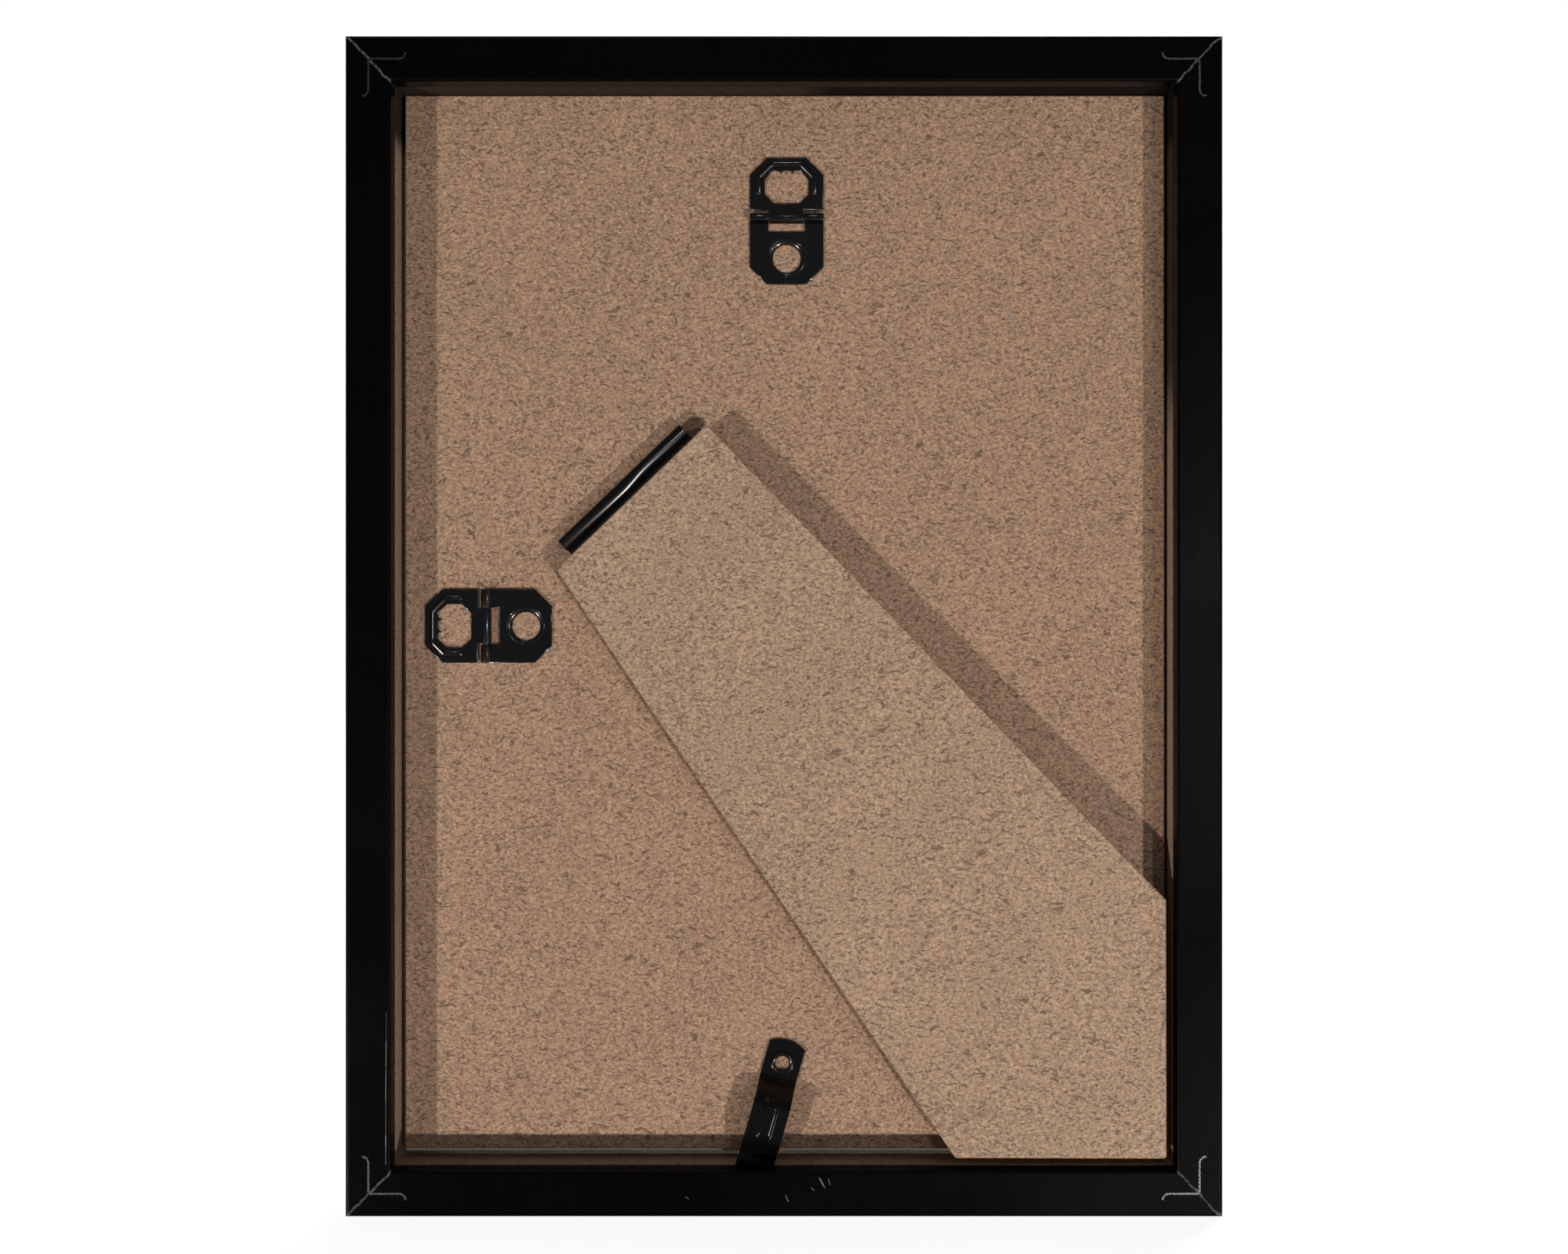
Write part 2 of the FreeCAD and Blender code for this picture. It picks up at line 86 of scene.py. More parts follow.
def strip_outline(line, sheet):
    """Closed outline of a sheet bent along a centre line, with half-round ends."""
    points = [Vector(point) for point in line]
    left, right = [], []
    for index, point in enumerate(points):
        before = points[max(index - 1, 0)]
        after = points[min(index + 1, len(points) - 1)]
        along = (after - before).normalized()
        out = Vector((-along.y, along.x)) * sheet / 2
        left.append(tuple(point + out))
        right.append(tuple(point - out))
    ends = []
    for point, ahead in ((points[-1], points[-1] - points[-2]), (points[0], points[0] - points[1])):
        heading = math.degrees(math.atan2(ahead.y, ahead.x))
        ends.append(arc(point.x, point.y, sheet / 2, heading + 90, heading - 90, 6)[1:-1])
    return left + ends[0] + right[::-1] + ends[1]


def rounded_path(corners, steps=8):
    """Points along lines whose corners (x, y, radius) are turned by arcs."""
    points = []
    for index, (x, y, radius) in enumerate(corners):
        here = Vector((x, y))
        if not radius:
            points.append((x, y))
            continue
        back = (Vector(corners[index - 1][:2]) - here).normalized()
        ahead = (Vector(corners[index + 1][:2]) - here).normalized()
        half = back.angle(ahead) / 2
        reach = radius / math.tan(half)
        centre = here + (back + ahead).normalized() * (radius / math.sin(half))
        start = here + back * reach - centre
        end = here + ahead * reach - centre
        turn = start.angle_signed(end)
        for step in range(steps + 1):
            spoke = start.copy()
            spoke.rotate(Matrix.Rotation(-turn * step / steps, 2))
            points.append(tuple(centre + spoke))
    return points


def ccw(outline):
    """The outline turned so that it runs anticlockwise."""
    area = sum(a[0] * b[1] - b[0] * a[1] for a, b in zip(outline, outline[1:] + outline[:1]))
    return outline if area > 0 else outline[::-1]


def from_curve(curve):
    """The mesh of a curve, which is then removed."""
    holder = bpy.data.objects.new("curve", curve)
    mesh = bpy.data.meshes.new_from_object(holder)
    bpy.data.objects.remove(holder)
    bpy.data.curves.remove(curve)
    return mesh


def from_shape(shape, name):
    """The mesh of a bmesh, which is then freed."""
    mesh = bpy.data.meshes.new(name)
    shape.to_mesh(mesh)
    shape.free()
    return mesh


def sheet_mesh(rim, holes, thickness, ease, wide=False):
    """A flat sheet centred on z = 0, with holes and eased edges.

    A wide sheet gets a narrow border, which keeps its faces flat right up to their rims.
    """
    curve = bpy.data.curves.new("sheet", "CURVE")
    curve.dimensions = "2D"
    curve.fill_mode = "BOTH"
    curve.extrude = thickness / 2 - ease
    curve.bevel_depth = ease
    curve.bevel_resolution = 2
    curve.offset = -ease
    for outline in [ccw(rim)] + [ccw(hole)[::-1] for hole in holes]:
        spline = curve.splines.new("POLY")
        spline.points.add(len(outline) - 1)
        for point, (x, y) in zip(spline.points, outline):
            point.co = (x, y, 0, 1)
        spline.use_cyclic_u = True
    mesh = from_curve(curve)
    if wide:
        sheet = bmesh.new()
        sheet.from_mesh(mesh)
        bmesh.ops.remove_doubles(sheet, verts=sheet.verts, dist=WELD)
        flats = [face for face in sheet.faces if abs(face.normal.z) > 0.999]
        bmesh.ops.inset_region(
            sheet, faces=flats, thickness=FLAT_BORDER, use_even_offset=True, use_boundary=True)
        sheet.to_mesh(mesh)
        sheet.free()
    return mesh


def turned_mesh(outline):
    """A ring turned about z from a closed outline of (radius, height) points."""
    ring = bmesh.new()
    rows = []
    for step in range(RING_STEPS):
        turn = Matrix.Rotation(2 * math.pi * step / RING_STEPS, 3, "Z")
        rows.append([ring.verts.new(turn @ Vector((radius, 0, height))) for radius, height in outline])
    for row, following in zip(rows, rows[1:] + rows[:1]):
        for index in range(len(outline)):
            after = (index + 1) % len(outline)
            ring.faces.new((row[index], following[index], following[after], row[after]))
    bmesh.ops.recalc_face_normals(ring, faces=ring.faces)
    return from_shape(ring, "ring")


def gathered(name, parts, seat, material):
    """One object from (mesh, placement in millimetres) parts, seated in the frame."""
    whole = bmesh.new()
    for mesh, placement in parts:
        mesh.transform(placement)
        whole.from_mesh(mesh)
        bpy.data.meshes.remove(mesh)
    bmesh.ops.remove_doubles(whole, verts=whole.verts, dist=WELD)
    bmesh.ops.recalc_face_normals(whole, faces=whole.faces)
    bmesh.ops.transform(whole, matrix=seat @ Matrix.Scale(MM, 4), verts=whole.verts)
    mesh = from_shape(whole, name)
    piece = bpy.data.objects.new(name, mesh)
    bpy.context.scene.collection.objects.link(piece)
    mesh.materials.append(material)
    mesh.shade_smooth()
    mesh.set_sharp_from_angle(angle=SMOOTH)
    return piece


def on_board(place, heading):
    """Seats a fitting drawn flat: y along heading, z out of the board."""
    across = heading.cross(OUTWARDS)
    return Matrix.Translation(place) @ Matrix((across, heading, OUTWARDS)).transposed().to_4x4()


# Node trees

def feed(tree, node, values):
    """Gives a node its inputs, each a value, a socket or a node whose first output feeds it."""
    for key, value in values.items():
        if isinstance(value, bpy.types.Node):
            value = value.outputs[0]
        if isinstance(value, bpy.types.NodeSocket):
            tree.links.new(value, node.inputs[key])
        else:
            node.inputs[key].default_value = value


def put(tree, kind, values=(), **options):
    """A node with its options and its inputs."""
    node = tree.nodes.new(kind)
    for name, value in options.items():
        setattr(node, name, value)
    feed(tree, node, dict(values))
    return node


def sums(tree, operation, *values, clamp=False):
    """The result of a Math node."""
    node = put(tree, "ShaderNodeMath", dict(enumerate(values)), operation=operation, use_clamp=clamp)
    return node.outputs[0]


def times(tree, product, *factors):
    """The product of two or more values."""
    for factor in factors:
        product = sums(tree, "MULTIPLY", product, factor)
    return product


def ramped(tree, value, low, high, start=0.0, end=1.0):
    """A value turned smoothly from start to end as it goes from low to high."""
    values = {"Value": value, "From Min": low, "From Max": high, "To Min": start, "To Max": end}
    node = put(tree, "ShaderNodeMapRange", values, interpolation_type="SMOOTHSTEP")
    return node.outputs["Result"]


def mixed(tree, share, first, second):
    """Two colours mixed by a share."""
    factor, one, other, result = 0, 6, 7, 2  # the sockets of the node that mix colours
    node = put(tree, "ShaderNodeMix", {factor: share, one: first, other: second}, data_type="RGBA")
    return node.outputs[result]


def noise(tree, place, scale, detail, roughness=0.5):
    """A Noise Texture node, its scale in cells per metre."""
    return put(tree, "ShaderNodeTexNoise", {
        "Vector": place, "Scale": scale, "Detail": detail, "Roughness": roughness})


def effect_group(name, inputs, outputs):
    """An empty shader group with named sockets."""
    group = bpy.data.node_groups.new(name, "ShaderNodeTree")
    for label, kind, default in inputs:
        socket = group.interface.new_socket(label, in_out="INPUT", socket_type="NodeSocket" + kind)
        if default is not None:
            socket.default_value = default
    for label, kind in outputs:
        group.interface.new_socket(label, in_out="OUTPUT", socket_type="NodeSocket" + kind)
    return group, put(group, "NodeGroupInput"), put(group, "NodeGroupOutput")


def rgba(colour, share=1.0):
    """A colour made darker or lighter by a share, with full alpha."""
    return (*[min(1.0, part * share) for part in colour], 1.0)


# Effects shared by the finishes

def fibre_group():
    """Pressed wood fibre: fine specks, short dark fibres and slow blotches."""
    group, given, out = effect_group("Pressed fibre", [
        ("Position", "Vector", None),
        ("Ground", "Color", (0.3, 0.19, 0.12, 1)),
        ("Light fleck", "Color", (0.42, 0.28, 0.19, 1)),
        ("Dark fleck", "Color", (0.16, 0.09, 0.055, 1)),
        ("Fleck size", "Float", 0.35),
    ], [("Color", "Color"), ("Height", "Float")])
    position = given.outputs["Position"]
    fine = sums(group, "DIVIDE", 1000.0, given.outputs["Fleck size"])
    laid = put(group, "ShaderNodeMapping", {"Vector": position, "Scale": (0.7, 1.0, 0.95)})
    pulp = noise(group, laid, fine, 5.0, 0.85)
    slow = noise(group, position, 45.0, 4.0)
    bent = noise(group, position, 260.0, 2.0)
    swirl = put(group, "ShaderNodeVectorMath", {0: bent.outputs["Color"], 3: 0.004}, operation="SCALE")
    drift = put(group, "ShaderNodeVectorMath", {0: position, 1: swirl}, operation="ADD")
    strands = []
    for angle in (25, 80, 140):
        turned = put(group, "ShaderNodeMapping", {
            "Vector": drift,
            "Rotation": (0, math.radians(angle), 0),
            "Scale": (1.0, 1.0, 2.6),
        })
        strands.append(ramped(group, noise(group, turned, 800.0, 2.0), 0.62, 0.7))
    strand = sums(group, "MAXIMUM", sums(group, "MAXIMUM", strands[0], strands[1]), strands[2])
    plain, light_fleck, dark_fleck = (given.outputs[name] for name in ("Ground", "Light fleck", "Dark fleck"))
    shade = put(group, "ShaderNodeVectorMath", {0: plain, 3: 0.9}, operation="SCALE")
    ground = mixed(group, ramped(group, slow, 0.3, 0.7), plain, shade)
    light = mixed(group, ramped(group, pulp, 0.5, 0.62), ground, light_fleck)
    dark = mixed(group, ramped(group, pulp, 0.49, 0.36), light, dark_fleck)
    marked = mixed(group, times(group, strand, 0.85), dark, dark_fleck)
    feed(group, out, {"Color": marked, "Height": sums(group, "SUBTRACT", pulp, strand)})
    return group


def pebble_group():
    """The fine grain of an embossed foil or of sprayed enamel."""
    group, given, out = effect_group("Fine pebble", [
        ("Position", "Vector", None),
        ("Grain size", "Float", 0.3),
        ("Roughness low", "Float", 0.3),
        ("Roughness high", "Float", 0.5),
    ], [("Height", "Float"), ("Roughness", "Float"), ("Cloud", "Float")])
    position = given.outputs["Position"]
    scale = sums(group, "DIVIDE", 1000.0, given.outputs["Grain size"])
    grain = noise(group, position, scale, 2.0, 0.6)
    cloud = noise(group, position, 30.0, 5.0)
    rough = put(group, "ShaderNodeMapRange", {
        "Value": cloud, "From Min": 0.3, "From Max": 0.7,
        "To Min": given.outputs["Roughness low"], "To Max": given.outputs["Roughness high"],
    })
    feed(group, out, {"Height": grain, "Roughness": rough, "Cloud": cloud})
    return group


def stroke_group():
    """A thin line between two points of the back, for scratches, hairs, marks and a painted highlight along a
    rim.
    """
    group, given, out = effect_group("Stroke", [
        ("Position", "Vector", None),
        ("Start", "Vector", (0, 0, 0)),
        ("Run", "Vector", (0, 0, 0.001)),
        ("Width", "Float", 0.1),
    ], [("Mask", "Float")])
    run = given.outputs["Run"]
    flat = put(group, "ShaderNodeVectorMath", {
        0: given.outputs["Position"], 1: (1, 0, 1)}, operation="MULTIPLY")
    offset = put(group, "ShaderNodeVectorMath", {0: flat, 1: given.outputs["Start"]}, operation="SUBTRACT")
    reach = put(group, "ShaderNodeVectorMath", {0: offset, 1: run}, operation="DOT_PRODUCT")
    whole = put(group, "ShaderNodeVectorMath", {0: run, 1: run}, operation="DOT_PRODUCT")
    share = sums(group, "DIVIDE", reach.outputs["Value"], whole.outputs["Value"], clamp=True)
    along = put(group, "ShaderNodeVectorMath", {0: run, 3: share}, operation="SCALE")
    gap = put(group, "ShaderNodeVectorMath", {0: offset, 1: along}, operation="DISTANCE")
    width = times(group, given.outputs["Width"], MM)
    mask = put(group, "ShaderNodeMapRange", {
        "Value": gap.outputs["Value"], "From Min": 0.0, "From Max": width, "To Min": 1.0, "To Max": 0.0,
    }, interpolation_type="SMOOTHSTEP")
    feed(group, out, {"Mask": mask})
    return group


def effect(tree, name, maker, **values):
    """A shared effect, made once, placed in a material with its own values."""
    named = {name.replace("_", " ").capitalize(): value for name, value in values.items()}
    return put(tree, "ShaderNodeGroup", named, node_tree=bpy.data.node_groups.get(name) or maker())


def fibrous(tree, place, ground, light_fleck, dark_fleck, size):
    """The pressed fibre in a material, its flecks' size in millimetres."""
    return effect(tree, "Pressed fibre", fibre_group, position=place, ground=ground,
                  light_fleck=light_fleck, dark_fleck=dark_fleck, fleck_size=size)


def pebbled(tree, place, grain, low, high):
    """The fine pebble in a material, its grain in millimetres and its roughness from low to high."""
    return effect(tree, "Fine pebble", pebble_group, position=place, grain_size=grain, roughness_low=low,
                  roughness_high=high)


def stroke_mask(tree, place, ends, width):
    """Where one stroke lies on the back, from its ends and its width in millimetres."""
    x0, z0, x1, z1 = ends
    node = effect(tree, "Stroke", stroke_group, position=place, start=(x0 * MM, 0, z0 * MM),
                  run=((x1 - x0) * MM, 0, (z1 - z0) * MM), width=width)
    return node.outputs["Mask"]


def new_finish(name):
    """A material with its tree, its shader and the Object coordinates."""
    material = bpy.data.materials.new(name)
    material.use_nodes = True
    tree = material.node_tree
    shader = tree.nodes["Principled BSDF"]
    place = put(tree, "ShaderNodeTexCoord").outputs["Object"]
    return material, tree, shader, place


def bumped(tree, height, depth):
    """The normal of a height whose whole rise is a depth in millimetres."""
    return put(tree, "ShaderNodeBump", {"Height": height, "Distance": depth * MM})


def within(tree, value, low, high, soft):
    """One where a value lies between two limits, with soft ends."""
    above = ramped(tree, value, low - soft, low + soft)
    below = ramped(tree, value, high + soft, high - soft)
    return times(tree, above, below)


# Finishes

# Ends and width, in millimetres, of the scratches on the bottom rail and of the light line along the foot of
# the left rim, which is partly wear and partly a painted highlight on the rim's edge
SCRATCHES_AND_RIM_SHEEN = (
    (5.9, 6.5, 6.8, 4.9, 0.14), (7.4, 6.3, 7.7, 5.4, 0.1), (0.3, 3.6, 0.7, 2.6, 0.09),
    (4.6, 4.9, 5.0, 4.4, 0.08), (-16.4, 3.4, -15.9, 3.0, 0.07),
    (-66.4, 8.8, -66.4, 21.0, 0.12), (-66.4, 21.0, -66.3, 34.0, 0.08),
)
# Ends, width and colour of the small marks on the board
DARK_MARK = (0.06, 0.03, 0.02)
BOARD_MARKS = (
    (22.0, 175.2, 24.2, 171.6, 0.1, DARK_MARK), (24.2, 171.6, 27.0, 170.6, 0.1, DARK_MARK),
    (41.4, 171.4, 41.8, 171.2, 0.35, DARK_MARK), (38.2, 151.4, 38.6, 151.2, 0.4, (0.3, 0.33, 0.38)),
    (-39.4, 162.2, -39.0, 162.0, 0.3, DARK_MARK), (-62.5, 115.0, -62.3, 114.6, 0.3, DARK_MARK),
)
# Roughness low and high, grain and its depth in millimetres, and specular level
ENAMELS = {
    "Satin enamel": (0.15, 0.19, 0.3, 0.002, 1.0),
    "Hinge enamel": (0.22, 0.26, 0.5, 0.002, 0.6),
    "Clip enamel": (0.2, 0.25, 0.3, 0.001, 0.4),
    "Eyelet enamel": (0.17, 0.22, 0.3, 0.002, 0.8),
}
# The rebate's raw walls: how far in from the sides, and between which depths, in millimetres
WALL_INSET = 5.0
WALL_BACK, WALL_FRONT = -4.6, 4.55


def moulding_finish(look):
    """Black foil on fibreboard: raw fibre in the rebate, with painted shade high on the right, a glue line at
    each mitre, scratches on the back and a light line on the left rim, partly a painted highlight.
    """
    material, tree, shader, place = new_finish("Moulding")
    axes = put(tree, "ShaderNodeSeparateXYZ", {0: place})
    across, depth = axes.outputs["X"], axes.outputs["Y"]
    height = sums(tree, "SUBTRACT", axes.outputs["Z"], middle_height)
    side, rise = sums(tree, "ABSOLUTE", across), sums(tree, "ABSOLUTE", height)
    pebble = pebbled(tree, place, 0.28, 0.24, 0.38)
    fibre = fibrous(tree, place, rgba(look.core_colour), (0.44, 0.33, 0.25, 1), (0.2, 0.13, 0.09, 1), 0.3)

    near, far = (WALL_INSET - 0.1) * MM, (WALL_INSET + 0.1) * MM
    raw = times(tree, ramped(tree, side, half_width - near, half_width - far),
                ramped(tree, rise, half_height - near, half_height - far),
                within(tree, depth, WALL_BACK * MM, WALL_FRONT * MM, 0.05 * MM))
    # The raw core turns near-black along the top rail, and high on the right wall a painted shade darkens it
    below = ramped(tree, height, 80 * MM, 84 * MM, 1.0, 0.1)
    right_wall_shade = times(tree, ramped(tree, height, 25 * MM, 50 * MM), ramped(tree, across, 0.0, 10 * MM))
    lit_core_share = times(tree, below, ramped(tree, right_wall_shade, 0.0, 1.0, 1.0, 0.12))
    core = mixed(tree, lit_core_share, (0.006, 0.005, 0.004, 1), fibre.outputs["Color"])

    wander = noise(tree, place, 400.0, 3.0)
    off = times(tree, sums(tree, "SUBTRACT", wander, 0.5), 2.0 * MM)
    mitre = sums(tree, "SUBTRACT", sums(tree, "SUBTRACT", half_width, side),
                 sums(tree, "SUBTRACT", half_height, rise))
    line = ramped(tree, sums(tree, "ABSOLUTE", sums(tree, "ADD", mitre, off)), 0.1 * MM, 0.36 * MM, 1.0, 0.0)
    flaked = noise(tree, place, 1500.0, 3.0)
    seam = times(tree, line, ramped(tree, flaked, 0.36, 0.56, 0.25, 1.0),
                 ramped(tree, depth, frame_low.y + 0.2 * MM, frame_low.y + 0.4 * MM, 1.0, 0.25),
                 sums(tree, "SUBTRACT", 1.0, raw))

    # The strokes are scratches, and on the left rim a light line that is partly a painted highlight
    strokes = 0.0
    for *ends, width in SCRATCHES_AND_RIM_SHEEN:
        strokes = sums(tree, "MAXIMUM", strokes, stroke_mask(tree, place, ends, width))
    scratch_and_sheen = times(tree, strokes, ramped(tree, wander, 0.36, 0.55, 0.3, 1.0),
                    ramped(tree, depth, frame_low.y + 0.3 * MM, frame_low.y + 0.7 * MM, 1.0, 0.0))

    foil = mixed(tree, ramped(tree, pebble.outputs["Height"], 0.4, 0.75), rgba(look.foil_colour),
                 rgba(look.foil_colour, 2.6))
    glued = mixed(tree, seam, foil, rgba(look.seam_colour))
    worn_and_sheen = mixed(tree, scratch_and_sheen, glued, (0.3, 0.3, 0.29, 1))
    relief = sums(tree, "SUBTRACT", pebble.outputs["Height"], times(tree, seam, 2.0))
    feed(tree, shader, {
        "Base Color": mixed(tree, raw, worn_and_sheen, core),
        "Roughness": sums(tree, "MAXIMUM", pebble.outputs["Roughness"], times(tree, raw, 0.9)),
        "Specular IOR Level": look.foil_gloss,
        "Normal": bumped(tree, relief, 0.02),
    })
    return material


def hardboard_finish(name, ground, shift, marks=()):
    """Smooth pressed hardboard with specks, short fibres and small marks."""
    material, tree, shader, place = new_finish(name)
    moved = put(tree, "ShaderNodeMapping", {"Vector": place, "Location": shift})
    fibre = fibrous(tree, moved, rgba(ground), rgba(ground, 1.55), rgba(ground, 0.34), 0.4)
    board = fibre.outputs["Color"]
    for *ends, width, tint in marks:
        board = mixed(tree, times(tree, stroke_mask(tree, place, ends, width), 0.7), board, rgba(tint))
    feed(tree, shader, {
        "Base Color": board, "Roughness": 0.72, "Specular IOR Level": 0.3,
        "Normal": bumped(tree, fibre.outputs["Height"], 0.035),
    })
    return material


def grained_finish(name, grain, low, high, mask, limits, shades, depth, values):
    """A finish with the fine pebble, one of whose masks leads from the first shade to the second."""
    material, tree, shader, place = new_finish(name)
    pebble = pebbled(tree, place, grain, low, high)
    feed(tree, shader, {
        "Base Color": mixed(tree, ramped(tree, pebble.outputs[mask], *limits), *shades),
        "Roughness": pebble.outputs["Roughness"],
        "Normal": bumped(tree, pebble.outputs["Height"], depth), **values,
    })
    return material


def enamel_finish(name):
    """Black enamel on sheet steel, with an orange-peel skin, made once for each name."""
    low, high, grain, depth, gloss = ENAMELS[name]
    black = settings().finishes.enamel_colour
    return bpy.data.materials.get(name) or grained_finish(
        name, grain, low, high, "Cloud", (0.35, 0.65), (rgba(black), rgba(black, 1.7)), depth,
        {"Specular IOR Level": gloss})


def steel_finish(look):
    """Bright cut steel with dull specks."""
    shades = rgba(look.nail_colour, 0.25), rgba(look.nail_colour)
    return grained_finish(
        "Nail steel", 0.25, 0.24, 0.46, "Height", (0.42, 0.56), shades, 0.02, {"Metallic": 1.0})


def paper_finish(look):
    """Blank matt paper with a faint tooth."""
    shades = rgba(look.paper_colour), rgba(look.paper_colour, 0.94)
    return grained_finish("Blank paper", 0.22, 0.82, 0.92, "Height", (0.35, 0.65), shades, 0.02, {})


def glass_finish():
    """Clear float glass, a little wavy, with a green cast."""
    material, tree, shader, place = new_finish("Float glass")
    pebble = pebbled(tree, place, 40.0, 0.0, 0.02)
    rays = put(tree, "ShaderNodeLightPath")
    feed(tree, shader, {
        "Base Color": (0.93, 0.97, 0.95, 1), "Transmission Weight": 1.0, "IOR": 1.52,
        "Alpha": sums(tree, "SUBTRACT", 1.0, times(tree, rays.outputs["Is Shadow Ray"], 0.9)),
        "Roughness": pebble.outputs["Roughness"], "Normal": bumped(tree, pebble.outputs["Cloud"], 0.01),
    })
    return material


# Sizes and colours that a user would change

def length(label, text, default):
    """A length property, from a default in millimetres."""
    return bpy.props.FloatProperty(
        name=label, description=text, default=default * MM, min=0.01 * MM, soft_max=300.0 * MM, precision=5,
        unit="LENGTH")


def power(label, text, default):
    """A lamp power property in watts."""
    return bpy.props.FloatProperty(name=label, description=text, default=default, min=0.0, unit="POWER")


def colour(label, text, default):
    """A colour property."""
    return bpy.props.FloatVectorProperty(
        name=label, description=text, default=default, size=3, min=0.0, max=1.0, subtype="COLOR")


class PhotoFrameFinishes(bpy.types.PropertyGroup):
    foil_colour: colour("Foil", "Black foil of the moulding", (0.0008, 0.0009, 0.0013))
    foil_gloss: bpy.props.FloatProperty(
        name="Foil gloss", description="Specular level of the foil", default=0.07, min=0.0, max=1.0,
        subtype="FACTOR")
    core_colour: colour("Core", "Raw fibreboard inside the rebate", (0.36, 0.26, 0.19))
    seam_colour: colour("Seam", "Glue and dust in the mitres", (0.11, 0.11, 0.105))
    board_colour: colour("Board", "Hardboard of the backing", (0.42, 0.265, 0.172))
    leg_colour: colour("Leg", "Hardboard of the easel leg", (0.45, 0.3, 0.2))
    enamel_colour: colour("Enamel", "Black enamel of the fittings", (0.0009, 0.0009, 0.0011))
    nail_colour: colour("Nails", "Bright steel of the V-nails", (0.26, 0.26, 0.25))
    paper_colour: colour("Paper", "Blank paper behind the glass", (0.84, 0.83, 0.8))


class PhotoFrameNails(bpy.types.PropertyGroup):
    arm: length("Arm", "From the bend to the curl", 5.1)
    curl: length("Curl", "Radius of the curled ends", 1.1)
    sheet: length("Sheet", "Thickness of the strip", 0.32)
    drive: length("Drive", "Depth in the wood", 8.0)
    inset: length("Inset", "From the outer corner to the bend", 3.9)


class PhotoFrameHangers(bpy.types.PropertyGroup):
    plate_sheet: length("Plate sheet", "Thickness of the base plate", 0.5)
    loop_sheet: length("Loop sheet", "Thickness of the loop", 0.4)
    width: length("Width", "Width of plate and loop", 12.6)
    bead_rise: length("Bead rise", "Height of the pressed bead", 0.26)
    ease: length("Ease", "Rounding of the cut edges", 0.14)


class PhotoFrameHinge(bpy.types.PropertyGroup):
    sheet: length("Sheet", "Thickness of the leaf", 0.45)
    width: length("Width", "Length along the line of the roll", 28.5)
    curl_radius: length("Curl", "Outer radius of the curl", 1.65)
    kink: bpy.props.FloatProperty(
        name="Kink", description="How far the crimp turns the curl's skin", default=1.0, min=0.0, max=1.5,
        subtype="FACTOR")


class PhotoFrameClip(bpy.types.PropertyGroup):
    sheet: length("Sheet", "Thickness of the spring strip", 0.4)
    width: length("Width", "Width of the strip", 6.3)
    rib_rise: length("Rib rise", "Height of the pressed rib", 0.34)
    rib_width: length("Rib width", "Width of the pressed rib", 2.3)


class PhotoFrameStage(bpy.types.PropertyGroup):
    camera_gap: length("Camera gap", "From the back of the frame to the lens", 300.0)
    key_power: power("Keys", "Power of the right key lamp, which the other lamps at the back follow", 6.7)
    fill_power: power("Fill", "Power of the top lamp, which the front lamp follows", 2.4)
    floor_colour: colour("Floor", "Pale floor", (0.4, 0.4, 0.4))


GROUPS = {
    "finishes": PhotoFrameFinishes, "nails": PhotoFrameNails, "hangers": PhotoFrameHangers,
    "hinge": PhotoFrameHinge, "clip": PhotoFrameClip, "stage": PhotoFrameStage,
}


def settings():
    """The sizes and colours of every piece."""
    return SimpleNamespace(**{name: getattr(bpy.context.scene, "photo_frame_" + name) for name in GROUPS})


def in_mm(group):
    """The lengths of a group in millimetres, by name."""
    lengths = [each.identifier for each in group.bl_rna.properties if each.unit == "LENGTH"]
    return SimpleNamespace(**{name: getattr(group, name) / MM for name in lengths})


def dress(node, material):
    """Gives a CAD node its finish."""
    mesh = frame["nodes"][node].data
    mesh.materials.clear()
    mesh.materials.append(material)


# Pieces

class PHOTOFRAME_OT_moulding(bpy.types.Operator):
    """Finish the four mitred rails"""
    bl_idname = "photoframe.moulding"
    bl_label = "Moulding"

    def execute(self, context):
        finish = moulding_finish(settings().finishes)
        for node in ("top_rail", "bottom_rail", "left_rail", "right_rail"):
            dress(node, finish)
        return {"FINISHED"}


